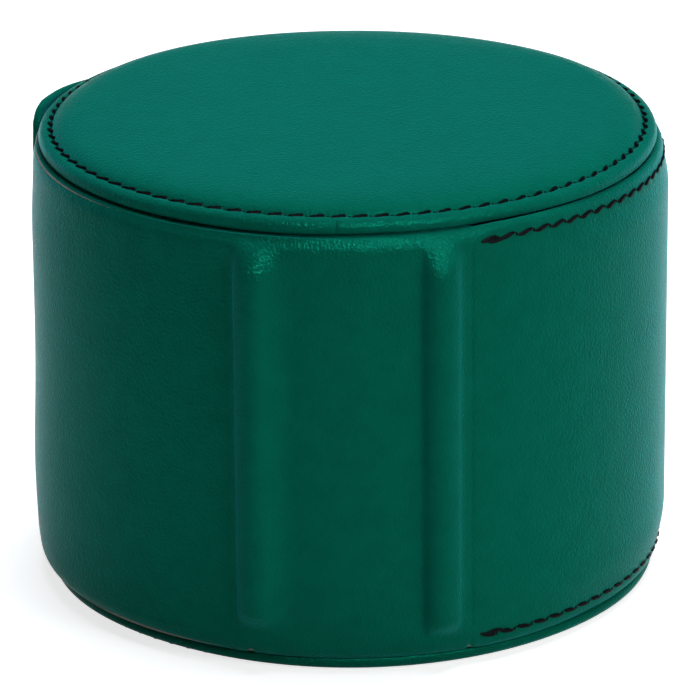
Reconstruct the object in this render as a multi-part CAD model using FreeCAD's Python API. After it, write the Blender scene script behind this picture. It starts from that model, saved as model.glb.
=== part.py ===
import FreeCAD, Part
import math
import os

# Leather roll for one wrist watch, standing on one end.
# A stiff drum wall closes less than half of the cylinder, two round ends close its mouths, and a
# long curved flap covers the rest and laps over the wall. A removable cushion holds the watch.
# Millimetres and degrees. Z is the drum's axis and the floor is z = 0.
# An angle is measured about Z from the front (the -Y side) towards +X.

Vector = FreeCAD.Vector
UP = Vector(0, 0, 1)
CENTRE = Vector(0, 0, 0)
os.makedirs("parts", exist_ok=True)

# Drum
overall_height = 72.2
wall_radius = 49.45
wall_board_thickness = 2.0
wall_leather_thickness = 0.8
wall_lining_thickness = 0.6
turned_edge_thickness = 0.6
wall_edge_bevel = 0.45
wall_free_angle = -140.0
clearance = 0.3
tool_reach = 5.0
same_place = 0.001

# Round ends
end_radius = 47.8
end_rim_height = 2.15
end_board_radius = 46.6
top_board_thickness = 1.0
end_cover_thickness = 0.7
end_rim_round = 1.8
end_rim_flats = 2
top_crown = 2.1
top_crown_slope_width = 5.5
end_lining_thickness = 0.5

# Ribs that keep the roll from rolling when it lies down
rib_angle = 16.5
rib_height = 1.8
rib_nose_radius = 3.2
rib_flank_radius = 1.5
rib_fade_length = 4.0
rib_top_inset = 4.5
left_rib_bottom_inset = 6.6
right_rib_bottom_inset = 4.2

# Flap
flap_root_angle = 22.0
flap_wrap_angle = 234.0
flap_part_count = 5
flap_radius = 50.22
flap_centre_shift = 0.8
flap_centre_angle = 232.0
flap_leather_thickness = 0.5
flap_lining_thickness = 0.65
flap_corner_radius = 8.0
flap_bottom = 2.35
flap_top_inset = 1.85
flap_part_gap = 0.2

# Hidden magnetic closure
magnet_diameter = 10.0
magnet_thickness = 1.4
magnet_from_tip = 11.0
keeper_diameter = 12.0
keeper_thickness = 0.3
fit_clearance = 0.05

# Watch cushion
cushion_length_across = 58.0
cushion_depth = 46.0
cushion_nose_radius = 14.0
cushion_end_clearance = 0.5
cushion_cover_thickness = 0.7

# Sizes worked out from those above
wall_bottom = end_rim_height
wall_top = overall_height - end_rim_height
wall_board_outer = wall_radius - wall_leather_thickness
wall_board_inner = wall_board_outer - wall_board_thickness
wall_lining_inner = wall_board_inner - wall_lining_thickness
end_lining_radius = wall_lining_inner - clearance
flap_lining_outer = flap_radius - flap_leather_thickness
flap_inner_radius = flap_lining_outer - flap_lining_thickness
flap_top = overall_height - flap_top_inset
flap_end_angle = flap_root_angle + flap_wrap_angle
flap_part_angle = flap_wrap_angle / flap_part_count
cavity_bottom = end_rim_height + end_lining_thickness
cavity_top = overall_height - cavity_bottom
mid_height = overall_height / 2


def polar(radius, angle, height=0.0, centre=CENTRE):
    turn = math.radians(angle)
    return centre + Vector(radius * math.sin(turn), -radius * math.cos(turn), height)


def angle_of(point, centre=CENTRE):
    return math.degrees(math.atan2(point.x - centre.x, -(point.y - centre.y)))


FLAP_CENTRE = polar(flap_centre_shift, flap_centre_angle)
hinge_point = polar(flap_radius, flap_root_angle, 0.0, FLAP_CENTRE)
wall_root_angle = angle_of(hinge_point) - math.degrees(clearance / wall_radius)


def ring_sector(inner, outer, low, high, start, end, centre=CENTRE):
    """A curved slab between two radii, two heights and two angles."""
    corners = [
        polar(inner, start, low, centre),
        polar(outer, start, low, centre),
        polar(outer, start, high, centre),
        polar(inner, start, high, centre),
    ]
    face = Part.Face(Part.makePolygon(corners + corners[:1]))
    return face.revolve(centre, UP, end - start)


def turned(outline):
    """A solid of revolution about Z from (radius, height) points that start and end on the axis."""
    points = [Vector(radius, 0, height) for radius, height in outline]
    return Part.Face(Part.makePolygon(points + points[:1])).revolve(CENTRE, UP, 360)


def points_along(edge, count=5):
    first, last = edge.ParameterRange
    return [edge.valueAt(first + (last - first) * step / (count - 1)) for step in range(count)]


def save(shape, node):
    shape.exportStep("parts/" + node + ".step")
    print(node, "valid", shape.isValid(), "solids", len(shape.Solids), "volume", round(shape.Volume, 1))


# Round ends
# Each end is built with its seat on the wall at height 0 and its outside facing up.


def crown_outline(edge_radius, height, crown):
    """The padded face's section: level in the middle, then sloping down to its edge."""
    if crown <= 0:
        return [(0, height), (edge_radius, height)]
    level_radius = edge_radius - top_crown_slope_width
    return [(0, height + crown), (level_radius, height + crown), (edge_radius, height)]


def end_envelope(crown):
    """The whole end: a level or padded face that rolls over into a rim with a crisp lower edge."""
    shoulder = end_radius - end_rim_round
    rim_start = end_rim_height - end_rim_round
    outline = crown_outline(shoulder, end_rim_height, crown)
    for step in range(1, end_rim_flats + 1):
        lean = math.pi / 2 * step / end_rim_flats
        outline.append((shoulder + end_rim_round * math.sin(lean), rim_start + end_rim_round * math.cos(lean)))
    return turned(outline + [(end_radius, 0), (0, 0)])


def end_lining():
    """The lining of the end's inner face, inside the wall's lining."""
    lining = Part.makeCylinder(end_lining_radius, end_lining_thickness)
    lining.translate(Vector(0, 0, -end_lining_thickness))
    return lining


def make_top_end():
    """Leather over a foam pad that lifts it in the middle, on a round board."""
    board = Part.makeCylinder(end_board_radius, top_board_thickness)
    pad_edge = [(end_board_radius, top_board_thickness), (0, top_board_thickness)]
    pad_top = crown_outline(end_board_radius, end_rim_height - end_cover_thickness, top_crown)
    padding = turned(pad_top + pad_edge)
    cover = end_envelope(top_crown).cut(board.fuse(padding).removeSplitter())
    pieces = {"cover": cover, "padding": padding, "board": board, "lining": end_lining()}
    for piece, shape in pieces.items():
        shape.translate(Vector(0, 0, wall_top))
        save(shape, "top_end_" + piece)


def make_bottom_end():
    """Leather straight over a round board, the same rim upside down."""
    board = Part.makeCylinder(end_board_radius, end_rim_height - end_cover_thickness)
    cover = end_envelope(0.0).cut(board)
    for piece, shape in {"cover": cover, "board": board, "lining": end_lining()}.items():
        shape = shape.mirror(CENTRE, UP)
        shape.translate(Vector(0, 0, wall_bottom))
        save(shape, "bottom_end_" + piece)


# Drum wall and its ribs


def rib_places():
    top = wall_top - rib_top_inset
    return [
        ("left", -rib_angle, wall_bottom + left_rib_bottom_inset, top),
        ("right", rib_angle, wall_bottom + right_rib_bottom_inset, top),
    ]


rib_axis_radius = wall_radius + rib_height - rib_nose_radius


def rib_room(angle, low, high, depth):
    """The space that a rib may fill, some depth under its skin: sloping ends fade it into the wall."""
    slope = rib_fade_length / rib_height
    inner = rib_nose_radius
    outer = rib_height + tool_reach
    corners = [
        polar(wall_radius - inner, angle, low + (depth - inner) * slope),
        polar(wall_radius + outer, angle, low + (depth + outer) * slope),
        polar(wall_radius + outer, angle, high - (depth + outer) * slope),
        polar(wall_radius - inner, angle, high - (depth - inner) * slope),
    ]
    side = polar(rib_nose_radius + rib_flank_radius, angle + 90.0)
    room = Part.Face(Part.makePolygon(corners + corners[:1])).extrude(side * 2)
    room.translate(side * -1)
    return room


def rib_cord(angle, low, high):
    """The strip under the leather: round outside, hollowed to sit on the wall board."""
    radius = rib_nose_radius - wall_leather_thickness
    rod = Part.makeCylinder(radius, high - low, polar(rib_axis_radius, angle, low))
    room = rib_room(angle, low, high, wall_leather_thickness)
    return rod.common(room).cut(Part.makeCylinder(wall_board_outer, overall_height))


def rib_spread():
    """The angle from a rib's middle to where its hollow flank runs out into the wall."""
    flank = wall_radius + rib_flank_radius
    apart = rib_nose_radius + rib_flank_radius
    cosine = (rib_axis_radius**2 + flank**2 - apart**2) / (2 * rib_axis_radius * flank)
    return math.degrees(math.acos(cosine))


def rib_flank(angle, turn, height):
    """The hollow arc between the wall and a rib's round nose: its start, middle and end."""
    nose = polar(rib_axis_radius, angle, height)
    hollow = polar(wall_radius + rib_flank_radius, angle + turn, height)
    on_wall = polar(wall_radius, angle + turn, height)
    on_nose = nose + (hollow - nose) * (rib_nose_radius / (rib_nose_radius + rib_flank_radius))
    towards = (on_wall + on_nose) * 0.5 - hollow
    towards.normalize()
    return on_wall, hollow + towards * rib_flank_radius, on_nose


def arc(start, middle, end):
    return Part.Arc(start, middle, end).toShape()


def wall_arc(radius, start, end, height):
    return arc(polar(radius, start, height), polar(radius, (start + end) / 2, height), polar(radius, end, height))


def wall_section(height):
    """The wall's section: a thick arc whose outside runs over the two ribs."""
    edges = []
    spread = rib_spread()
    last = wall_free_angle
    for side, angle, low, high in rib_places():
        start, start_middle, start_nose = rib_flank(angle, -spread, height)
        end, end_middle, end_nose = rib_flank(angle, spread, height)
        edges.append(wall_arc(wall_radius, last, angle - spread, height))
        edges.append(arc(start, start_middle, start_nose))
        edges.append(arc(start_nose, polar(wall_radius + rib_height, angle, height), end_nose))
        edges.append(arc(end_nose, end_middle, end))
        last = angle + spread
    edges.append(wall_arc(wall_radius, last, wall_root_angle, height))
    for angle in (wall_root_angle, wall_free_angle):
        side = (polar(wall_radius, angle, height), polar(wall_board_inner, angle, height))
        edges.append(Part.LineSegment(*side).toShape())
    edges.append(wall_arc(wall_board_inner, wall_free_angle, wall_root_angle, height))
    return Part.Face(Part.Wire(Part.__sortEdges__(edges)))


def rib_trim(angle, low, high):
    """What a full-height rib loses so that it ends in time and fades: all outside its room."""
    reach = math.degrees((rib_nose_radius + rib_flank_radius) / wall_radius)
    skin = wall_radius + rib_height + tool_reach
    around = ring_sector(wall_radius, skin, wall_bottom, wall_top, angle - reach, angle + reach)
    return around.cut(rib_room(angle, low, high, 0.0))


def is_wall_rim_edge(edge):
    """True for the outer edges of the wall's rims and of its free end."""
    points = points_along(edge)
    on_wall = all(abs(math.hypot(p.x, p.y) - wall_radius) < same_place for p in points)
    low = all(abs(p.z - wall_bottom) < same_place for p in points)
    high = all(abs(p.z - wall_top) < same_place for p in points)
    free = all(abs(angle_of(p) - wall_free_angle) < same_place for p in points)
    return on_wall and (low or high or free)


magnet_angle = flap_end_angle - 360.0 - math.degrees(magnet_from_tip / flap_radius)


def wall_magnet_hole():
    """A round hole straight through the wall board, at the place the flap's tip covers."""
    radius = magnet_diameter / 2 + fit_clearance
    start = polar(wall_board_inner - tool_reach, magnet_angle, mid_height)
    length = wall_board_thickness + tool_reach * 2
    return Part.makeCylinder(radius, length, start, polar(1.0, magnet_angle))


def make_wall():
    skin = turned_edge_thickness
    board_start = wall_free_angle + math.degrees(wall_leather_thickness / wall_board_outer)
    board_room = (wall_bottom + skin, wall_top - skin, board_start, wall_root_angle)
    board = ring_sector(wall_board_inner, wall_board_outer, *board_room)
    board = board.cut(wall_magnet_hole())
    save(board, "wall_board")

    magnet_inner = wall_board_inner + (wall_board_thickness - magnet_thickness) / 2
    magnet_start = polar(magnet_inner, magnet_angle, mid_height)
    magnet = Part.makeCylinder(magnet_diameter / 2, magnet_thickness, magnet_start, polar(1.0, magnet_angle))
    save(magnet, "wall_magnet")

    cords = []
    trims = []
    for side, angle, low, high in rib_places():
        trims.append(rib_trim(angle, low, high))
        cord = rib_cord(angle, low, high)
        cords.append(cord)
        save(cord, side + "_rib_cord")

    span = (wall_bottom, wall_top, wall_free_angle, wall_root_angle)
    leather = wall_section(wall_bottom).extrude(UP * (wall_top - wall_bottom)).cut(trims)
    leather = leather.makeChamfer(wall_edge_bevel, [e for e in leather.Edges if is_wall_rim_edge(e)])
    leather = leather.cut(ring_sector(wall_board_inner - tool_reach, wall_board_outer, *board_room))
    leather = leather.cut(Part.makeCylinder(wall_board_inner, overall_height)).cut(cords)
    save(leather, "wall_leather")

    lining = ring_sector(wall_lining_inner, wall_board_inner, *span)
    save(lining, "wall_lining")


# Flap
# The real flap is one bending strip. It is cut into equal curved parts that turn about hinge lines
# on its outer face, so that the strip straightens without stretching its leather.


def tip_corner(end, edge_height, inward, radius):
    """What a round corner of the flap's tip leaves out, next to one edge height."""
    outward = polar(1.0, end)
    along = polar(1.0, end - 90.0)
    start = polar(flap_radius - tool_reach, end, edge_height, FLAP_CENTRE) - along * tool_reach
    across = along * (radius + tool_reach)
    side = UP * inward * radius
    points = [start, start + across, start + across + side, start + side]
    block = Part.Face(Part.makePolygon(points + points[:1])).extrude(outward * tool_reach * 2)
    return block.cut(Part.makeCylinder(radius, tool_reach * 2, start + across + side, outward))


def flap_slab(inner, outer, inset, part):
    """One part of the flap between two radii, set in from its free edges. The tip has round corners."""
    start = flap_root_angle + part * flap_part_angle
    end = start + flap_part_angle
    half_gap = math.degrees(flap_part_gap / 2 / flap_radius)
    low = flap_bottom + inset
    high = flap_top - inset
    is_tip = part == flap_part_count - 1
    end -= math.degrees(inset / flap_radius) if is_tip else half_gap
    slab = ring_sector(inner, outer, low, high, start + half_gap, end, FLAP_CENTRE)
    if is_tip:
        radius = flap_corner_radius - inset
        slab = slab.cut(tip_corner(end, low, 1, radius)).cut(tip_corner(end, high, -1, radius))
    return slab


def keeper_rod(radius):
    """A rod through the flap's tip, where the steel plate lies."""
    tip_angle = flap_end_angle - math.degrees(magnet_from_tip / flap_radius)
    start = polar(flap_inner_radius - tool_reach, tip_angle, mid_height, FLAP_CENTRE)
    length = flap_radius - flap_inner_radius + tool_reach * 2
    return Part.makeCylinder(radius, length, start, polar(1.0, tip_angle))


def make_flap():
    keeper_inner = flap_lining_outer - keeper_thickness
    for part in range(flap_part_count):
        number = str(part + 1)
        lining = flap_slab(flap_inner_radius, flap_lining_outer, flap_leather_thickness, part)
        inside = flap_slab(flap_inner_radius - tool_reach, flap_lining_outer, flap_leather_thickness, part)
        leather = flap_slab(flap_inner_radius, flap_radius, 0.0, part).cut(inside)
        if part == flap_part_count - 1:
            bed = flap_slab(keeper_inner, flap_radius, flap_leather_thickness, part)
            lining = lining.cut(bed.common(keeper_rod(keeper_diameter / 2 + fit_clearance)))
            keeper = flap_slab(keeper_inner, flap_lining_outer, flap_leather_thickness, part)
            save(keeper.common(keeper_rod(keeper_diameter / 2)), "flap_keeper_plate")
        save(leather, "flap_leather_" + number)
        save(lining, "flap_lining_" + number)


# Watch cushion
# It lies across the way out, with its flat side towards the middle of the opening.

lift_angle = (flap_root_angle + wall_free_angle + 360.0) / 2


def oval(inset, height):
    """A four-arc oval, two blunt noses joined by two flatter sides, set in evenly all round."""
    across = cushion_length_across / 2 - inset
    depth = cushion_depth / 2 - inset
    nose = cushion_nose_radius - inset
    reach = across - nose
    side = (reach**2 + depth**2 - nose**2) / (2 * (depth - nose))
    towards = Vector(reach, side - depth, 0)
    towards.normalize()
    join = Vector(reach, 0, 0) + towards * nose

    def spot(x, y):
        return Vector(x, y, height)

    return Part.Wire(
        [
            Part.Arc(spot(join.x, -join.y), spot(across, 0), spot(join.x, join.y)).toShape(),
            Part.Arc(spot(join.x, join.y), spot(0, depth), spot(-join.x, join.y)).toShape(),
            Part.Arc(spot(-join.x, join.y), spot(-across, 0), spot(-join.x, -join.y)).toShape(),
            Part.Arc(spot(-join.x, -join.y), spot(0, -depth), spot(join.x, -join.y)).toShape(),
        ]
    )


def cushion_form(inset, low, high):
    return Part.Face(oval(inset, low + inset)).extrude(UP * (high - low - inset * 2))


def lay_across(shape):
    """Turns a shape so that its Y side faces the middle of the opening."""
    shape.rotate(CENTRE, UP, lift_angle + 180.0)
    return shape


def make_cushion():
    low = cavity_bottom + cushion_end_clearance
    high = cavity_top - cushion_end_clearance
    core = cushion_form(cushion_cover_thickness, low, high)
    cover = cushion_form(0.0, low, high).cut(core)
    save(lay_across(core), "cushion_core")
    save(lay_across(cover), "cushion_cover")


make_top_end()
make_bottom_end()
make_wall()
make_flap()
make_cushion()

hinges = [
    polar(flap_radius, flap_root_angle + part * flap_part_angle, 0.0, FLAP_CENTRE)
    for part in range(flap_part_count)
]
print("hinge lines", [(round(p.x, 4), round(p.y, 4)) for p in hinges])
print("cushion way out", [round(value, 5) for value in polar(1.0, lift_angle)])
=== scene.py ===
import bpy
from math import atan2, cos, degrees, exp, hypot, pi, radians, sin, sqrt
from mathutils import Matrix, Vector


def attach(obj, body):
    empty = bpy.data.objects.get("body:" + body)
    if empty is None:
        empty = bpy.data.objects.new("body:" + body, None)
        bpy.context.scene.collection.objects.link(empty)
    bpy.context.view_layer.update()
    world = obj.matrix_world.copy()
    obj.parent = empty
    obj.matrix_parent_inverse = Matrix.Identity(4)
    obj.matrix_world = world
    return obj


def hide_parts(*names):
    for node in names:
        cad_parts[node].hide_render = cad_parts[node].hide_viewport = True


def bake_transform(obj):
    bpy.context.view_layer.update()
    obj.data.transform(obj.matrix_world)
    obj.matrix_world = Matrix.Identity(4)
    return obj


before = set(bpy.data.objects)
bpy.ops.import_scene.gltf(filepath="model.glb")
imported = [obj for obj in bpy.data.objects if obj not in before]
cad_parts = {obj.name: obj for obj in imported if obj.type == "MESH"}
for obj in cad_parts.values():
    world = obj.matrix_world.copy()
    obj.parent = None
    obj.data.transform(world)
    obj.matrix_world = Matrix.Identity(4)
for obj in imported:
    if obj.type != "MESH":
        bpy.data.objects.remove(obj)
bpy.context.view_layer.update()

# Wall board and rib cords
# A curved sheet of grey pressed board carries the drum. Two soft rubber strips are glued upright on
# its outside, and a flat disc magnet sits in a round hole near its free end.


def surface(name):
    """A new finish, with its node tree, its main shader and a texture place that stays on the piece."""
    material = bpy.data.materials.new(name)
    material.use_nodes = True
    tree = material.node_tree
    shader = tree.nodes["Principled BSDF"]
    place = tree.nodes.new("ShaderNodeTexCoord").outputs["Object"]
    return material, tree, shader, place


def noise(tree, place, scale, detail=4.0, roughness=0.5):
    node = tree.nodes.new("ShaderNodeTexNoise")
    node.inputs["Scale"].default_value = scale
    node.inputs["Detail"].default_value = detail
    node.inputs["Roughness"].default_value = roughness
    tree.links.new(place, node.inputs["Vector"])
    return node.outputs["Fac"]


def ramp(tree, value, low, high, start, end):
    """Turns a value between start and end into a colour between low and high."""
    node = tree.nodes.new("ShaderNodeValToRGB")
    node.color_ramp.elements[0].position = start
    node.color_ramp.elements[0].color = (*low, 1.0)
    node.color_ramp.elements[1].position = end
    node.color_ramp.elements[1].color = (*high, 1.0)
    tree.links.new(value, node.inputs["Fac"])
    return node.outputs["Color"]


def bump(tree, shader, height, distance, strength):
    node = tree.nodes.new("ShaderNodeBump")
    node.inputs["Distance"].default_value = distance
    node.inputs["Strength"].default_value = strength
    tree.links.new(height, node.inputs["Height"])
    tree.links.new(node.outputs["Normal"], shader.inputs["Normal"])


def settle(node, values):
    for name, value in values.items():
        node.inputs[name].default_value = value


def calculate(tree, operation, *values):
    """A sum on up to three values, each a number or the output of another node."""
    node = tree.nodes.new("ShaderNodeMath")
    node.operation = operation
    for place, value in zip(node.inputs, values):
        if isinstance(value, float):
            place.default_value = value
        else:
            tree.links.new(value, place)
    return node.outputs["Value"]


def plain_finish(name, dark, light, scale, rough, metal=0.0, depth=0.0001):
    """A mottled finish for pieces that mostly stay out of sight."""
    material, tree, shader, place = surface(name)
    mottle = noise(tree, place, scale, 6.0, 0.6)
    tree.links.new(ramp(tree, mottle, dark, light, 0.3, 0.7), shader.inputs["Base Color"])
    settle(shader, {"Roughness": rough, "Metallic": metal})
    bump(tree, shader, mottle, depth, 0.4)
    return material


def cover_with(piece, material):
    piece.data.materials.clear()
    piece.data.materials.append(material)


def dress(node, material):
    cover_with(bpy.data.objects[node], material)


grey_board = plain_finish("grey pressed board", (0.16, 0.15, 0.13), (0.27, 0.25, 0.22), 900.0, 0.85)
cord_rubber = plain_finish("black cord rubber", (0.012, 0.012, 0.012), (0.03, 0.03, 0.03), 1500.0, 0.7)
bright_nickel = plain_finish(
    "nickel plate", (0.5, 0.5, 0.5), (0.62, 0.61, 0.6), 400.0, 0.22, metal=1.0, depth=0.00001
)
dress("wall_board", grey_board)
for cord in ("left_rib_cord", "right_rib_cord"):
    dress(cord, cord_rubber)
dress("wall_magnet", bright_nickel)

# Wall leather
# One skin of emerald calf leather is glued over the board and drawn down tight on both sides of each
# cord, which leaves two raised ribs that fade out at both ends. Its long edges roll over the board and
# are glued down on its ends. The same hide runs on past the right rib as the flap, after a crease.

wall_radius = 0.04945
wall_leather_depth = 0.0008
turned_edge_depth = 0.0006
turned_edge_end = 0.0469
seat_radius = 0.04785
wall_low = 0.00215
wall_high = 0.07005
wall_roll = {"top": 0.0030, "bottom": 0.0022}
wall_free_angle = -140.0
side_low = 0.0066
side_high = 0.0660
half_way_up = 0.036
crease_angle = 12.7
rib_nose = 0.0032
rib_top = 0.0699
rib_top_fade = 0.0068
ribs = (
    {
        "angle": -17.6, "height": 0.0024, "bottom": 0.0060, "fade": 0.0044,
        "left_flank": 0.0009, "right_flank": 0.0062,
    },
    {
        "angle": 15.4, "height": 0.0021, "bottom": 0.0049, "fade": 0.0036,
        "left_flank": 0.0009, "right_flank": 0.0026,
    },
)

# Small rises round the roll, each with its height, the angle of its middle and its width in degrees.
rib_creases = ((0.00012, 20.9, 0.35), (0.00018, -22.3, 0.5))
seam_rises = ((0.00024, 33.0, 17.0), (-0.00022, -13.0, 11.0))
lower_nicks = ((0.0004, -19.2, 0.5), (0.00045, 20.8, 0.5), (0.0005, -46.0, 20.0))

# The board's edges are bevelled. On the upper bevel its radius and height add up to one length, and on
# the lower one the height taken from the radius leaves another.
board_side = 0.04872
upper_bevel = 0.11777
lower_bevel = 0.04552
least_turned_height = 0.0696


def emerald_leather():
    """Fine pebbled calf leather: small round cells, faint creases and a soft shine."""
    material, tree, shader, place = surface("emerald calf leather")
    cells = tree.nodes.new("ShaderNodeTexVoronoi")
    cells.feature = "SMOOTH_F1"
    cells.inputs["Scale"].default_value = 2300.0
    cells.inputs["Smoothness"].default_value = 0.3
    tree.links.new(place, cells.inputs["Vector"])
    creases = noise(tree, place, 2100.0, 4.0, 0.6)
    grain = calculate(tree, "MULTIPLY_ADD", cells.outputs["Distance"], 0.7, creases)
    bump(tree, shader, grain, 0.00013, 1.0)
    patches = noise(tree, place, 260.0, 6.0, 0.65)
    tint = ramp(tree, patches, (0.0007, 0.123, 0.074), (0.0012, 0.140, 0.085), 0.35, 0.65)
    tree.links.new(tint, shader.inputs["Base Color"])
    wear = noise(tree, place, 900.0, 3.0, 0.5)
    polish = ramp(tree, wear, (0.18, 0.18, 0.18), (0.25, 0.25, 0.25), 0.35, 0.65)
    tree.links.new(polish, shader.inputs["Roughness"])
    settle(shader, {
        "IOR": 1.4,
        "Specular IOR Level": 0.01,
        "Metallic": 0.07,
        "Specular Tint": (0.12, 1.0, 0.9, 1.0),
        "Sheen Weight": 0.5,
        "Sheen Roughness": 0.4,
        "Sheen Tint": (0.05, 0.8, 0.87, 1.0),
    })
    return material


emerald = emerald_leather()


def spot(radius, angle, height=0.0, centre=(0.0, 0.0)):
    """A place round an upright axis. The front of the roll is at angle 0 and its right side at 90."""
    turn = radians(angle)
    return Vector((centre[0] + radius * sin(turn), centre[1] - radius * cos(turn), height))


def round_place(place, centre=(0.0, 0.0)):
    """The radius and the angle of a place round an upright axis."""
    across, along = place.x - centre[0], -(place.y - centre[1])
    return hypot(across, along), degrees(atan2(across, along))


def ease(value):
    """Rises softly from 0 to 1 as the value does."""
    value = min(1.0, max(0.0, value))
    return value * value * (3.0 - 2.0 * value)


def hump(value, middle, width):
    return exp(-(((value - middle) / width) ** 2))


def humps(value, rises):
    return sum(rise * hump(value, middle, width) for rise, middle, width in rises)


def round_off(radius, past):
    """How far a circle has fallen away from its tangent, at a distance past the place they touch."""
    return radius - sqrt(max(0.0, radius**2 - past**2))


def pick(piece, wanted):
    """Goes into edit mode with only the wanted corners of a piece selected."""
    if bpy.context.object and bpy.context.object.mode != "OBJECT":
        bpy.ops.object.mode_set(mode="OBJECT")
    bpy.ops.object.select_all(action="DESELECT")
    bpy.context.view_layer.objects.active = piece
    piece.select_set(True)
    bpy.ops.object.mode_set(mode="EDIT")
    bpy.ops.mesh.select_mode(type="VERT")
    bpy.ops.mesh.select_all(action="DESELECT")
    bpy.ops.object.mode_set(mode="OBJECT")
    for corner in piece.data.vertices:
        corner.select = bool(wanted(corner.co))
    bpy.ops.object.mode_set(mode="EDIT")


def everything(corner):
    return True


def spun_strip(name, section, start, runs, centre=(0.0, 0.0)):
    """A closed curved strip: its section, a ring of (radius, height) places, is spun round an axis.

    runs are pairs of an angle to spin through and the steps that it takes.
    """
    bpy.ops.object.select_all(action="DESELECT")
    bpy.ops.mesh.primitive_circle_add(
        vertices=len(section), radius=0.01, fill_type="NOTHING", location=(0, 0, 0)
    )
    piece = bpy.context.object
    piece.name = name
    for corner, (radius, height) in zip(piece.data.vertices, section):
        corner.co = spot(radius, start, height, centre)
    for angle, steps in runs:
        if piece.mode != "EDIT":
            pick(piece, everything)
        bpy.ops.mesh.spin(
            steps=steps, angle=-radians(angle), center=(centre[0], centre[1], 0.0), axis=(0, 0, 1)
        )
    bpy.ops.mesh.select_all(action="SELECT")
    bpy.ops.mesh.remove_doubles(threshold=0.0000005)
    bpy.ops.mesh.select_all(action="SELECT")
    bpy.ops.mesh.fill_holes(sides=0)
    bpy.ops.mesh.select_all(action="SELECT")
    bpy.ops.mesh.normals_make_consistent(inside=False)
    bpy.ops.object.mode_set(mode="OBJECT")
    return piece


def side_rows():
    """Heights of the rows up the middle of a strip, closer together where the ribs fade."""
    rows = [side_low + 0.00055 * count for count in range(14)]
    rows += [rows[-1] + 0.0016 * (count + 1) for count in range(26)]
    rows += [rows[-1] + (side_high - rows[-1]) * (count + 1) / 17 for count in range(17)]
    return list(reversed(rows))


# Heights of the rows up a strip's inner face.
inner_rows = [0.0075 + 0.0044 * count for count in range(14)]


def wall_section():
    """From the inner face up over the board's end, round the upper roll, down and round to the start."""
    board = wall_radius - wall_leather_depth
    reach = wall_radius - seat_radius
    ring = []
    for end, edge, sign in (("top", wall_high, -1.0), ("bottom", wall_low, 1.0)):
        roll = wall_roll[end]
        half = [
            (board, edge + sign * (roll + 0.001)),
            (board, edge + sign * (turned_edge_depth + 0.00001)),
            (turned_edge_end, edge + sign * turned_edge_depth),
            (turned_edge_end, edge),
            ((turned_edge_end + seat_radius) / 2, edge),
        ]
        for step in range(10):
            turn = radians(90.0 - 10.0 * step)
            half.append((seat_radius + reach * cos(turn), edge + sign * roll * (1.0 - sin(turn))))
        low_row, high_row = edge + sign * roll, side_high if end == "top" else side_low
        for step in range(1, 6):
            half.append((wall_radius, low_row + (high_row - low_row) * step / 6))
        if end == "top":
            ring += half + [(wall_radius, height) for height in side_rows()]
        else:
            ring += reversed(half)
    return ring + [(board, height) for height in inner_rows]


def rib_lift(angle, height):
    """How far the cords push the leather out at a place on the wall."""
    lift = 0.0
    for rib in ribs:
        across = radians(angle - rib["angle"]) * wall_radius
        flank = rib["left_flank"] if across < 0 else rib["right_flank"]
        drop = rib_nose - rib["height"] + flank
        reach = sqrt((rib_nose + flank) ** 2 - drop**2)
        turn = reach * rib_nose / (rib_nose + flank)
        across = abs(across)
        if across >= reach:
            continue
        if across <= turn:
            profile = sqrt(rib_nose**2 - across**2) - rib_nose + rib["height"]
        else:
            profile = round_off(flank, reach - across)
        rise = ease((height - rib["bottom"]) / rib["fade"])
        lift += profile * rise * ease((rib_top - height) / rib_top_fade)
    creases = humps(angle, rib_creases)
    return lift - creases * ease((height - 0.004) / 0.004) * ease((0.0685 - height) / 0.003)


def seam_rise(angle, height):
    """The small rise and fall of the seam under the upper end, which dies away further down."""
    return humps(angle, seam_rises) * ease((height - 0.066) / 0.003)


def flap_share(angle):
    """How much of the soft free flap there is at an angle, from its root round to the back."""
    return ease((angle - 22.0) / 30.0) * ease((170.0 - angle) / 50.0)


def stand(angle, height):
    """How far the side stands out or in. It bellies a little and curves in towards both ends."""
    left, free = hump(angle, -90.0, 40.0), flap_share(angle)
    out = 0.0004 * hump(angle, 85.0, 34.0) + 0.0006 * left * hump(height, 0.017, 0.013)
    free_lean, left_lean = ease((height - 0.0625) / 0.0075), ease((height - 0.056) / 0.014)
    out -= 0.001 * free * free_lean + 0.0005 * left * left_lean
    out -= 0.0009 * free * ease((0.0105 - height) / 0.008)
    return out - 0.0003 * ease((0.0075 - height) / 0.006)


def wall_place(radius, angle, height):
    """Where a place on the plain wall section ends up, with the ribs and the seam's rise and fall.

    The rolls at both ends are kept out towards the board's bevels. A thin line of the board still shows
    past them at the left, under the lip and above the lower end.
    """
    outside = radius > wall_radius - wall_leather_depth + 0.00001
    outside = outside or height > wall_high - 0.00055 or height < wall_low + 0.00055
    share = (radius - seat_radius) / (wall_radius - seat_radius)
    lift = (rib_lift(angle, height) + stand(angle, height)) * min(1.0, max(0.0, share)) if outside else 0.0
    nick = humps(angle, lower_nicks) if height < 0.0045 else 0.0
    on_roll = ease((radius - 0.047) / 0.0008) * ease((height - 0.0680) / 0.0018)
    sunk = (0.0002 + 0.0003 * hump(angle, -24.0, 14.0)) * on_roll
    moved = height + seam_rise(angle, height) + nick - sunk
    if outside and height > 0.069 and radius < 0.0488:
        moved = max(moved, least_turned_height)
    out = radius + lift
    if outside and share > 0.3:
        bevel = upper_bevel - moved if height > half_way_up else moved + lower_bevel
        out = max(out, min(board_side, bevel))
    return spot(out, angle, moved)


def smooth(piece, angle=40.0):
    bpy.ops.object.select_all(action="DESELECT")
    bpy.context.view_layer.objects.active = piece
    piece.select_set(True)
    bpy.ops.object.shade_smooth_by_angle(angle=radians(angle))


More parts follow.
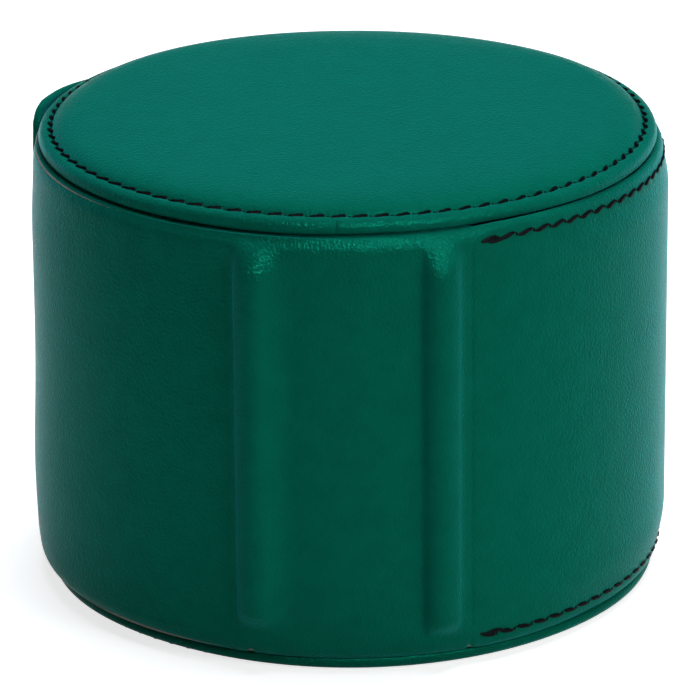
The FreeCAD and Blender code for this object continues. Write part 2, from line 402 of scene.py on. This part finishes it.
wall_runs = ((117.0, 58), (14.0, 46), (18.0, 10), (crease_angle - 9.0, 12))
wall_skin = spun_strip("wall_skin", wall_section(), wall_free_angle, wall_runs)
for corner in wall_skin.data.vertices:
    flat, angle = round_place(corner.co)
    corner.co = wall_place(flat, angle, corner.co.z)
smooth(wall_skin)
cover_with(wall_skin, emerald)
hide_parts("wall_leather")
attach(wall_skin, "drum")

# Flap
# The long free end of the hide, doubled with a stiff suede-faced backing and turned over it in a fat
# round edge that is stitched down. It starts at the right rib, goes round the right side and the back,
# and its round-cornered tip laps over the wall's free end. It bends all along, and here it is built as
# five lengths, each baked where it lies.

flap_centre = (-0.0006304, 0.0004925)
flap_radius = 0.05022
flap_depth = 0.00115
flap_low = 0.00235
flap_high = 0.07035
flap_root = 22.0
flap_tip = 257.2
flap_corner = 0.0042
flap_edge = 0.0009
flap_bends = (45.4, 92.2, 139.0, 185.8, 232.6)
flap_fine_start = 9.3
flap_fine_end = 3.5
stitch_inset = 0.00215

# The rolled edge's section, from the inner face round to the outer one, as pairs of a depth below the
# flap's outer face and a distance in from its edge. The rows beside it hold the stitches.
edge_roll = (
    (0.00115, 0.0034), (0.00115, 0.0023), (0.00122, 0.0018), (0.00134, 0.0013), (0.00140, 0.0008),
    (0.00136, 0.0004), (0.00118, 0.00012), (0.0009, 0.0), (0.00062, 0.00006), (0.00035, 0.00025),
    (0.00013, 0.00056), (0.0, 0.00096), (-0.00006, 0.00136), (-0.00005, 0.00172), (0.00002, 0.00198),
)
edge_rows = ((0.00010, 0.00215), (0.00003, 0.00234), (0.0, 0.0026), (0.0, 0.0030), (0.0, 0.0036))


def flap_spot(depth, angle, height):
    """A place on the flap. Its upper edge sits under the lip on the right, and its tip stands out."""
    round_to = angle - 360.0 if angle > 180.0 else angle
    out = stand(round_to, height) + 0.0005 * hump(round_to, -103.0, 12.0) * ease((height - 0.058) / 0.008)
    drop = (0.0002 + 0.00028 * flap_share(round_to)) * ease((height - 0.0625) / 0.0075)
    return spot(flap_radius - depth + out, angle, height - drop, flap_centre)


def flap_section():
    """The flap with its two rolled edges, as a ring with the same count of places as the wall's."""
    ring = []
    for edge, sign in ((flap_high, -1.0), (flap_low, 1.0)):
        half = [(flap_radius - depth, edge + sign * drop) for depth, drop in edge_roll + edge_rows]
        if edge == flap_high:
            ring += half + [(flap_radius, height) for height in side_rows()]
        else:
            ring += reversed(half)
    return ring + [(flap_radius - flap_depth, height) for height in inner_rows]


def tip_lean(angle, height):
    """The flap's upper edge rises towards its tip, whose upper corner reaches furthest."""
    near = ease((angle - 226.0) / 22.0)
    lean = ease((angle - 225.0) / 28.0) * ease((0.064 - height) / 0.006)
    return angle - lean * 1.6, height + near * 0.0013 * ease((height - 0.03) / 0.04)


def flap_length(number, start, end, steps):
    if number > 1:
        runs = ((end - start, steps),)
        if end == flap_tip:
            runs = ((end - start - flap_fine_end, steps), (flap_fine_end, 24))
        piece = spun_strip("flap_skin_" + str(number), flap_section(), start, runs, flap_centre)
        for corner in piece.data.vertices:
            flat, angle = round_place(corner.co, flap_centre)
            angle, height = tip_lean(angle % 360.0, corner.co.z)
            corner.co = flap_spot(flap_radius - flat, angle, height + seam_rise(angle, height))
        return piece
    plain, rolled = wall_section(), flap_section()
    runs = ((flap_fine_start, 36), (end - start - flap_fine_start, steps))
    piece = spun_strip("flap_skin_1", plain, start, runs)
    for corner in piece.data.vertices:
        (flat, angle), height = round_place(corner.co), corner.co.z
        away = [abs(radius - flat) + abs(row_height - height) for radius, row_height in plain]
        rolled_radius, rolled_height = rolled[away.index(min(away))]
        on_wall = wall_place(flat, angle, height)
        on_flap = flap_spot(flap_radius - rolled_radius, angle, rolled_height + seam_rise(angle, height))
        corner.co = on_wall.lerp(on_flap, ease((angle - 19.5) / 6.0))
    return piece


def bend_with(piece, number):
    """Bakes one length of the flap where it lies. The ends of its part of the frame are found but not used.
    """
    ends = (flap_root, flap_bends[0]) if number == 1 else flap_bends[number - 2 : number]
    low, high = (flap_spot(0.0, angle, half_way_up) for angle in ends)
    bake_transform(piece)


flap_skins = []
edges = (crease_angle,) + flap_bends[:4] + (flap_tip,)
for number in range(1, 6):
    start, end = edges[number - 1], edges[number]
    flap_skins.append(flap_length(number, start, end, max(14, round((end - start) / 1.5))))

# The tip's two corners are cut round, and its edge is rolled like the others.
flap_half = (flap_high - flap_low) / 2
flap_middle = flap_low + flap_half
for corner in flap_skins[-1].data.vertices:
    flat, angle = round_place(corner.co, flap_centre)
    angle %= 360.0
    left = radians(tip_lean(flap_tip, corner.co.z)[0] - angle) * flap_radius
    if left < flap_corner:
        cut = round_off(flap_corner, flap_corner - left)
        squeezed = flap_middle + (corner.co.z - flap_middle) / flap_half * (flap_half - cut)
        back = round_off(flap_edge, max(0.0, flap_edge - left))
        corner.co = flap_spot(max(flap_radius - flat, back), angle, squeezed)

for number, skin in enumerate(flap_skins, 1):
    smooth(skin)
    cover_with(skin, emerald)
    start, end = edges[number - 1], edges[number]
    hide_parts("flap_leather_" + str(number))
    bend_with(skin, number)

# Round ends
# Each end is a round board under the same leather. The upper one has foam under it and rises like a
# flat cushion. The leather is stitched down near the rim, rolls over it, and ends in a sharp lip that
# stands clear of the wall by a hair.

end_sides = 360
end_stitch_radius = 0.0461
join_angle = -3.1
join_reach = 8.0
bottom_depth = 0.00215
crown_rises = ((0.0003, 120.0, 20.0), (0.0002, -135.0, 25.0))
lower_rim_rises = ((0.0003, -38.0, 25.0), (0.0002, 45.0, 25.0))


def turned_piece(name, profile, sides):
    """A round piece made from a disc by extruding its face from ring to ring, then scaling each ring."""
    bpy.ops.object.select_all(action="DESELECT")
    radius, height = profile[0]
    bpy.ops.mesh.primitive_circle_add(vertices=sides, radius=radius, fill_type="NGON", location=(0, 0, 0))
    piece = bpy.context.object
    piece.name = name
    pick(piece, everything)
    bpy.ops.transform.translate(value=(0, 0, height))
    for next_radius, next_height in profile[1:]:
        bpy.ops.mesh.extrude_region_move()
        share = next_radius / radius
        bpy.ops.transform.resize(value=(share, share, 1.0), center_override=(0.0, 0.0, 0.0))
        bpy.ops.transform.translate(value=(0, 0, next_height - height))
        radius, height = next_radius, next_height
    bpy.ops.mesh.select_all(action="SELECT")
    bpy.ops.mesh.normals_make_consistent(inside=False)
    bpy.ops.object.mode_set(mode="OBJECT")
    return piece


# From the seat out under the lip, up round the rolled rim and in to the stitch line, as pairs of a
# radius and a height above the wall. The crown and the level face run on from there to the middle.
rim = [(0.0464, 0.00002), (0.0469, 0.00002), (0.0474, 0.00003), (0.04772, 0.00008), (0.04788, 0.0002)]
rim += [(0.04800, 0.00045), (0.04806, 0.0008), (0.04803, 0.00117), (0.04790, 0.00148), (0.04774, 0.0018)]
rim += [(0.04740, 0.00204), (0.04705, 0.00218), (0.04670, 0.00223), (0.04642, 0.0022), (0.04624, 0.00213)]
rim += [(end_stitch_radius, 0.00206), (0.04598, 0.00212)]
crown = [(0.04583, 0.00236), (0.04555, 0.0027), (0.04515, 0.00302), (0.04455, 0.00333), (0.0437, 0.00361)]
crown += [(0.0424, 0.00387), (0.0405, 0.00404), (0.0376, 0.00417), (0.0335, 0.00424), (0.027, 0.00428)]
crown += [(0.018, 0.0043), (0.008, 0.00431), (0.002, 0.00431)]
level = [(0.0453, 0.0021), (0.0444, 0.00214), (0.030, 0.00215), (0.004, 0.00215)]
top_profile = [(radius, wall_high + height) for radius, height in rim + crown]
bottom_profile = [(radius, wall_low - min(height * 0.95, bottom_depth)) for radius, height in rim + level]
top_cover = turned_piece("top_cover", top_profile, end_sides)
bottom_cover = turned_piece("bottom_cover", bottom_profile, end_sides)

# The upper rim has a small nick where its leather joins, with the corners drawn closer together there.
# Its lip follows the seam, and its crown is fuller in some places than in others.
for corner in top_cover.data.vertices:
    radius, angle = round_place(corner.co)
    away = angle - join_angle
    if abs(away) < join_reach:
        drawn = join_reach * (abs(away) / join_reach) ** 1.6
        angle = join_angle + drawn * (1.0 if away > 0 else -1.0)
    rolled = ease((radius - 0.0468) / 0.001) * ease((corner.co.z - wall_high - 0.0002) / 0.0004)
    radius -= 0.00022 * hump(angle, join_angle, 0.28) * rolled
    lip_share = 1.0 - ease((corner.co.z - wall_high - 0.0003) / 0.0014)
    height = corner.co.z + humps(angle, seam_rises) * lip_share
    fuller = humps(angle, crown_rises) - 0.0001 * hump(abs(angle), 180.0, 20.0)
    corner.co = spot(radius, angle, height + fuller * hump(radius, 0.0432, 0.0035))

# The lower rim is drawn in at the left and rises a little at both sides of the front.
for corner in bottom_cover.data.vertices:
    radius, angle = round_place(corner.co)
    rim_share = ease((radius - 0.044) / 0.003)
    rise = humps(angle, lower_rim_rises) * rim_share * ease((0.0015 - corner.co.z) / 0.001)
    corner.co = spot(radius - 0.0004 * hump(angle, -62.0, 42.0) * rim_share, angle, corner.co.z + rise)
for cover, node in ((top_cover, "top_end_cover"), (bottom_cover, "bottom_end_cover")):
    smooth(cover, 50.0)
    cover_with(cover, emerald)
    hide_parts(node)
    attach(cover, "drum")
end_foam = plain_finish("cream foam", (0.55, 0.5, 0.4), (0.68, 0.63, 0.52), 1200.0, 0.95)
dress("top_end_padding", end_foam)
for node in ("top_end_board", "bottom_end_board"):
    dress(node, grey_board)

# Thread
# Black waxed thread, eight stitches to the inch, runs round both ends and along the flap's edges. Each
# stitch is a thick twisted length that leans across the seam and dives into the leather at both ends.


def black_thread():
    material, tree, shader, place = surface("black waxed thread")
    fibres = noise(tree, place, 6000.0, 2.0, 0.5)
    tint = ramp(tree, fibres, (0.0012, 0.0018, 0.0022), (0.006, 0.010, 0.012), 0.35, 0.7)
    tree.links.new(tint, shader.inputs["Base Color"])
    settle(shader, {"Roughness": 0.5, "Specular IOR Level": 0.03})
    bump(tree, shader, fibres, 0.00005, 0.5)
    return material


thread_finish = black_thread()
stitch_pitch = 0.0032
stitch_radius = 0.00036
stitch_length = 0.0031


def one_stitch():
    """A short two-ply thread along X, humped in the middle, its ends pointed and turned down."""
    bpy.ops.object.select_all(action="DESELECT")
    bpy.ops.mesh.primitive_cylinder_add(
        vertices=8, radius=stitch_radius, depth=stitch_length, rotation=(0, pi / 2, 0), end_fill_type="NGON"
    )
    piece = bpy.context.object
    piece.name = "stitch"
    bpy.ops.object.transform_apply(location=True, rotation=True, scale=True)
    for share in (-0.42, -0.32, -0.2, -0.07, 0.07, 0.2, 0.32, 0.42):
        pick(piece, everything)
        bpy.ops.mesh.bisect(plane_co=(stitch_length * share, 0, 0), plane_no=(1, 0, 0))
    bpy.ops.object.mode_set(mode="OBJECT")
    for corner in piece.data.vertices:
        share = 2.0 * abs(corner.co.x) / stitch_length
        turn = atan2(corner.co.z, corner.co.y)
        plies = 1.0 + 0.22 * cos(2.0 * (turn - corner.co.x / stitch_length * 4.5))
        thin = (1.0 - 0.68 * share**4) * plies
        corner.co.y *= thin
        corner.co.z = corner.co.z * thin * 0.85 - 0.00034 * share**4
    return piece


def sew(name, places):
    """Copies the stitch to each place and joins the copies into one run of thread."""
    first = one_stitch()
    copies = []
    for matrix in places:
        copy = bpy.data.objects.new(name, first.data.copy())
        bpy.context.collection.objects.link(copy)
        copy.data.transform(matrix)
        copies.append(copy)
    bpy.data.objects.remove(first)
    bpy.ops.object.select_all(action="DESELECT")
    for copy in copies:
        copy.select_set(True)
    bpy.context.view_layer.objects.active = copies[0]
    if len(copies) > 1:
        bpy.ops.object.join()
    thread = bpy.context.view_layer.objects.active
    thread.name = name
    smooth(thread, 60.0)
    cover_with(thread, thread_finish)
    return thread


def stitch_frame(place, along, out, lean):
    """A stitch's own axes at a place, and those of the short dip that joins it to the next one.

    The stitch lies along the seam, leaning by some degrees, and the dip crosses back between two holes.
    """
    along = along.normalized()
    out = out.normalized()
    across = out.cross(along).normalized()
    half = stitch_length / 2 * 0.94
    turn = radians(lean)
    step = Vector((stitch_pitch - 2 * half * cos(turn), -2 * half * sin(turn)))
    frames = []
    for way, long, thick, sunk, shift in (
        (turn, 1.0, 1.0, 0.0, 0.0),
        (atan2(step.y, step.x), (step.length + 0.0003) / stitch_length, 0.5, 0.00012, stitch_pitch / 2),
    ):
        run = along * cos(way) + across * sin(way)
        side = out.cross(run)
        spot_there = place + along * shift - out * sunk
        axes = Matrix((run, side, out)).transposed().to_4x4()
        axes.translation = spot_there
        frames.append(axes @ Matrix.Diagonal((long, thick, thick, 1.0)))
    return frames


end_stitches = round(2 * pi * end_stitch_radius / stitch_pitch)
for name, height, out in (
    ("top_thread", wall_high + 0.00222, Vector((0, 0, 1))),
    ("bottom_thread", wall_low - 0.00178, Vector((0, 0, -1))),
):
    places = []
    for count in range(end_stitches):
        angle = 360.0 * (count + 0.35) / end_stitches
        place = spot(end_stitch_radius, angle, height)
        places += stitch_frame(place, spot(1.0, angle + 90.0), out, 22.0)
    thread = sew(name, places)
    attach(thread, "drum")


def flap_stitch_places(start, end, with_tip):
    """The stitches along both edges between two angles, and round the tip where it belongs."""
    places = []
    step = degrees(stitch_pitch / flap_radius)
    depth = 0.00002
    last = flap_tip - degrees(flap_corner / flap_radius)
    first = flap_root + 0.6 + step * 0.5
    angles = [first + 0.35 * step] + [first + step * count for count in range(90)]
    for order, angle in enumerate(angles):
        if not start <= angle < min(end, last):
            continue
        for height, lean in ((flap_high - stitch_inset, 14.0), (flap_low + stitch_inset, -14.0)):
            if order == 0:
                height -= 0.0004 * (1 if lean > 0 else -1)
                lean = 2.0
            angle_there, height_there = tip_lean(angle, height)
            height_there += seam_rise(angle, height)
            place = flap_spot(depth, angle_there, height_there)
            frames = stitch_frame(place, spot(1.0, angle_there + 90.0), spot(1.0, angle_there), lean)
            places += frames[:1] if order == 0 else frames
    if with_tip:
        inner = flap_corner - stitch_inset
        arc = inner * pi / 2
        straight = flap_high - flap_low - 2 * flap_corner
        whole = 2 * arc + straight
        number = round(whole / stitch_pitch)
        for count in range(number):
            way = whole * (count + 0.5) / number
            if way < arc:
                turn = way / inner
                left = flap_corner - inner * sin(turn)
                height = flap_high - flap_corner + inner * cos(turn)
                run, rise = cos(turn), -sin(turn)
            elif way < arc + straight:
                left = stitch_inset
                height = flap_high - flap_corner - (way - arc)
                run, rise = 0.0, -1.0
            else:
                turn = (way - arc - straight) / inner
                left = flap_corner - inner * cos(turn)
                height = flap_low + flap_corner - inner * sin(turn)
                run, rise = -sin(turn), -cos(turn)
            angle, height = tip_lean(flap_tip - degrees(left / flap_radius), height)
            along = spot(1.0, angle + 90.0) * run + Vector((0, 0, rise))
            place = flap_spot(depth + 0.0001, angle, height)
            places += stitch_frame(place, along, spot(1.0, angle), 12.0)
    return places


for number in range(1, 6):
    start, end = edges[number - 1], edges[number]
    thread = sew("flap_thread_" + str(number), flap_stitch_places(start, end, number == 5))
    bend_with(thread, number)

# Linings
# Dark green suede lines the drum, both ends and the flap's inner side, where it stops a little short
# of the turned leather edge. A thin steel plate hides between the flap's leather and its lining.


def suede(name, dark, light):
    """Short soft nap: a fine speckle, broad brushed patches and a pale bloom at grazing angles."""
    material, tree, shader, place = surface(name)
    nap = noise(tree, place, 4200.0, 3.0, 0.7)
    brushed = noise(tree, place, 130.0, 4.0, 0.55)
    both = calculate(tree, "MULTIPLY_ADD", nap, 0.5, brushed)
    tree.links.new(ramp(tree, both, dark, light, 0.55, 0.95), shader.inputs["Base Color"])
    settle(shader, {
        "Roughness": 0.92,
        "Specular IOR Level": 0.2,
        "Sheen Weight": 0.35,
        "Sheen Roughness": 0.5,
        "Sheen Tint": (0.35, 0.75, 0.65, 1.0),
    })
    bump(tree, shader, nap, 0.00012, 0.6)
    return material


lining_suede = suede("deep green suede", (0.003, 0.045, 0.033), (0.008, 0.085, 0.063))
for node in ("wall_lining", "top_end_lining", "bottom_end_lining"):
    dress(node, lining_suede)
dress("flap_keeper_plate", bright_nickel)

lining_inset = 0.0016
lining_starts = (flap_root + 0.8,) + flap_bends[:4]
lining_ends = flap_bends[:4] + (flap_tip - degrees(lining_inset / flap_radius),)
lining_face = flap_radius - flap_depth - 0.0003
lining_corner = flap_corner - lining_inset
lining_fine_end = 1.5
for number in range(1, 6):
    start, end = lining_starts[number - 1], lining_ends[number - 1]
    low, high = flap_low + lining_inset, flap_high - lining_inset
    section = [(lining_face + 0.0005, low), (lining_face + 0.0001, low), (lining_face, low + 0.0001)]
    section += [(lining_face, low + (high - low) * row / 24) for row in range(1, 24)]
    section += [(lining_face, high - 0.0001), (lining_face + 0.0001, high), (lining_face + 0.0005, high)]
    steps = max(14, round((end - start) / 2.0))
    runs = ((end - start, steps),)
    if number == 5:
        runs = ((end - start - lining_fine_end, steps), (lining_fine_end, 8))
    lining = spun_strip("flap_lining_skin_" + str(number), section, start, runs, flap_centre)
    for corner in lining.data.vertices:
        (flat, plain), height = round_place(corner.co, flap_centre), corner.co.z
        plain %= 360.0
        left = radians(end - plain) * flap_radius
        if number == 5 and left < lining_corner:
            cut = round_off(lining_corner, lining_corner - left)
            middle = (low + high) / 2
            height = middle + (height - middle) * ((high - low) / 2 - cut) * 2 / (high - low)
        angle, height = tip_lean(plain, height)
        corner.co = flap_spot(flap_radius - flat, angle, height)
    smooth(lining)
    cover_with(lining, lining_suede)
    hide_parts("flap_lining_" + str(number))
    bend_with(lining, number)

# Cushion
# A firm foam block with an oval section and a suede cover. The cover's side is one strip, sewn to two
# slightly domed end panels over a thin corded seam. The watch is strapped round it.

cushion_angle = 121.0
cushion_across = 0.029
cushion_deep = 0.023
cushion_nose = 0.014
cushion_low = 0.00315
cushion_high = 0.06905
cushion_sides = 96
plain_cushion = 0.03
seam_height = 0.0014
seam_inset = 0.0011
cushion_suede = suede("emerald suede", (0.004, 0.06, 0.045), (0.01, 0.105, 0.08))


def oval_spot(turn, size):
    """A place on the cushion's four-arc oval, shrunk or grown a little."""
    reach = cushion_across - cushion_nose
    side = (reach**2 + cushion_deep**2 - cushion_nose**2) / (2 * (cushion_deep - cushion_nose))
    sunk = side - cushion_deep
    direction = (cos(turn), sin(turn))
    low, high = 0.0, 0.05
    for _ in range(30):
        middle = (low + high) / 2
        x, y = abs(direction[0] * middle), abs(direction[1] * middle)
        in_side = hypot(x, y + sunk) <= side
        in_nose = x * sunk <= (y + sunk) * reach or hypot(x - reach, y) <= cushion_nose
        low, high = (middle, high) if in_side and in_nose else (low, middle)
    return direction[0] * (low + size), direction[1] * (low + size)


# Rings from the middle of an end panel out over the seam and up the side, as pairs of how much smaller
# the oval is and how far it lies in from the end.
cushion_rings = [
    (-0.019, 0.0005), (-0.014, 0.0003), (-0.008, 0.0000), (-0.0035, 0.0002), (-0.0018, 0.0007),
    (-0.0012, 0.0013), (-0.0016, 0.0019), (-0.0009, 0.0030), (-0.0005, 0.0055), (-0.0002, 0.0100),
    (0.0, 0.0180),
]
rings = [(size, cushion_low + rise) for size, rise in cushion_rings]
rings += [(size, cushion_high - rise) for size, rise in reversed(cushion_rings)]
cushion_profile = [(plain_cushion + size, height) for size, height in rings]
cushion = turned_piece("watch_cushion", cushion_profile, cushion_sides)
turn_cushion = Matrix.Rotation(radians(cushion_angle + 180.0), 4, "Z")
for corner in cushion.data.vertices:
    size = hypot(corner.co.x, corner.co.y) - plain_cushion
    x, y = oval_spot(atan2(corner.co.y, corner.co.x), size)
    corner.co = turn_cushion @ Vector((x, y, corner.co.z))
smooth(cushion, 60.0)
cover_with(cushion, cushion_suede)
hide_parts("cushion_cover", "cushion_core")
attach(cushion, "cushion")

for name, height in (
    ("cushion_lower_seam", cushion_low + seam_height),
    ("cushion_upper_seam", cushion_high - seam_height),
):
    bpy.ops.object.select_all(action="DESELECT")
    bpy.ops.mesh.primitive_torus_add(
        major_radius=plain_cushion, minor_radius=0.0007, major_segments=cushion_sides, minor_segments=8
    )
    seam = bpy.context.object
    seam.name = name
    for corner in seam.data.vertices:
        size = hypot(corner.co.x, corner.co.y) - plain_cushion
        x, y = oval_spot(atan2(corner.co.y, corner.co.x), size - seam_inset)
        corner.co = turn_cushion @ Vector((x, y, corner.co.z + height))
    smooth(seam, 60.0)
    cover_with(seam, cushion_suede)
    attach(seam, "cushion")

# Studio
# The roll stands on a wide white floor. A large soft light hangs above it, another stands at the right
# and a weak one behind at the left, and these three make no highlights. A small light at the front makes
# nothing but highlights, and a weaker one at the front right makes both. It is seen from a little above
# with a long lens.

bpy.ops.object.select_all(action="DESELECT")
bpy.ops.mesh.primitive_plane_add(size=60.0, location=(0, 0, 0))
floor = bpy.context.object
floor.name = "studio_floor"
floor_finish = bpy.data.materials.new("white floor")
floor_finish.use_nodes = True
floor_tree = floor_finish.node_tree
floor_shader = floor_tree.nodes["Principled BSDF"]
settle(floor_shader, {"Base Color": (0.76, 0.76, 0.76, 1.0), "Roughness": 0.9, "Specular IOR Level": 0.0})
floor_light = floor_tree.nodes.new("ShaderNodeEmission")
floor_light.inputs["Color"].default_value = (1.0, 1.0, 1.0, 1.0)

# The floor's own light is there only for what is seen straight, through or mirrored.
rays = floor_tree.nodes.new("ShaderNodeLightPath").outputs
seen = calculate(floor_tree, "MAXIMUM", rays["Is Camera Ray"], rays["Is Transmission Ray"])
mirrored = calculate(floor_tree, "MAXIMUM", seen, rays["Is Glossy Ray"])
floor_tree.links.new(calculate(floor_tree, "MULTIPLY", mirrored, 0.75), floor_light.inputs["Strength"])
floor_sum = floor_tree.nodes.new("ShaderNodeAddShader")
floor_tree.links.new(floor_shader.outputs["BSDF"], floor_sum.inputs[0])
floor_tree.links.new(floor_light.outputs["Emission"], floor_sum.inputs[1])
floor_tree.links.new(floor_sum.outputs["Shader"], floor_tree.nodes["Material Output"].inputs["Surface"])
floor.data.materials.append(floor_finish)

world = bpy.data.worlds.new("studio")
bpy.context.scene.world = world
world.use_nodes = True
settle(world.node_tree.nodes["Background"], {"Color": (1.0, 1.0, 1.0, 1.0), "Strength": 0.02})


def soft_box(name, place, side, power, colour=(1.0, 1.0, 1.0), shine=True, spread=True):
    """A square light aimed at the roll. It can be kept from making highlights, or all but those."""
    light = bpy.data.lights.new(name, "AREA")
    light.shape = "RECTANGLE"
    light.size = side
    light.size_y = side
    light.energy = power
    light.color = colour
    lamp = bpy.data.objects.new(name, light)
    bpy.context.collection.objects.link(lamp)
    lamp.location = place
    lamp.visible_glossy = shine
    lamp.visible_diffuse = spread
    aim = Vector((0.0, 0.0, half_way_up)) - Vector(place)
    lamp.rotation_euler = aim.to_track_quat("-Z", "Y").to_euler()


soft_box("light_from_above", (0.1, 0.12, 0.9), 0.5, 7.4, (0.93, 1.0, 1.11), shine=False)
soft_box("light_from_the_front", (0.165, -0.775, 0.529), 0.12, 18.0, spread=False)
soft_box("light_from_the_front_right", (0.586, -0.527, 0.49), 0.2, 1.4)
soft_box("light_from_the_right", (0.75, -0.3, 0.3), 0.5, 1.15, shine=False)
soft_box("light_from_the_left_back", (-0.4, 0.75, 0.3), 0.4, 0.5, shine=False)

lens = 277.4
distance = 0.852
height_angle = radians(20.31)
side_angle = -0.85
tilt = radians(-0.45)
camera_data = bpy.data.cameras.new("camera")
camera_data.lens = lens
camera_data.sensor_width = 36.0
camera_data.clip_start = 0.05
camera_data.clip_end = 100.0
camera = bpy.data.objects.new("camera", camera_data)
bpy.context.collection.objects.link(camera)
target = Vector((0.0001, 0.0, 0.0342))
away = spot(cos(height_angle), side_angle, sin(height_angle))
camera.location = target + away * distance
upright = away.to_track_quat("Z", "Y").to_matrix().to_4x4()
camera.rotation_euler = (upright @ Matrix.Rotation(tilt, 4, "Z")).to_euler()
bpy.context.scene.camera = camera
bpy.context.scene.view_settings.view_transform = "Standard"
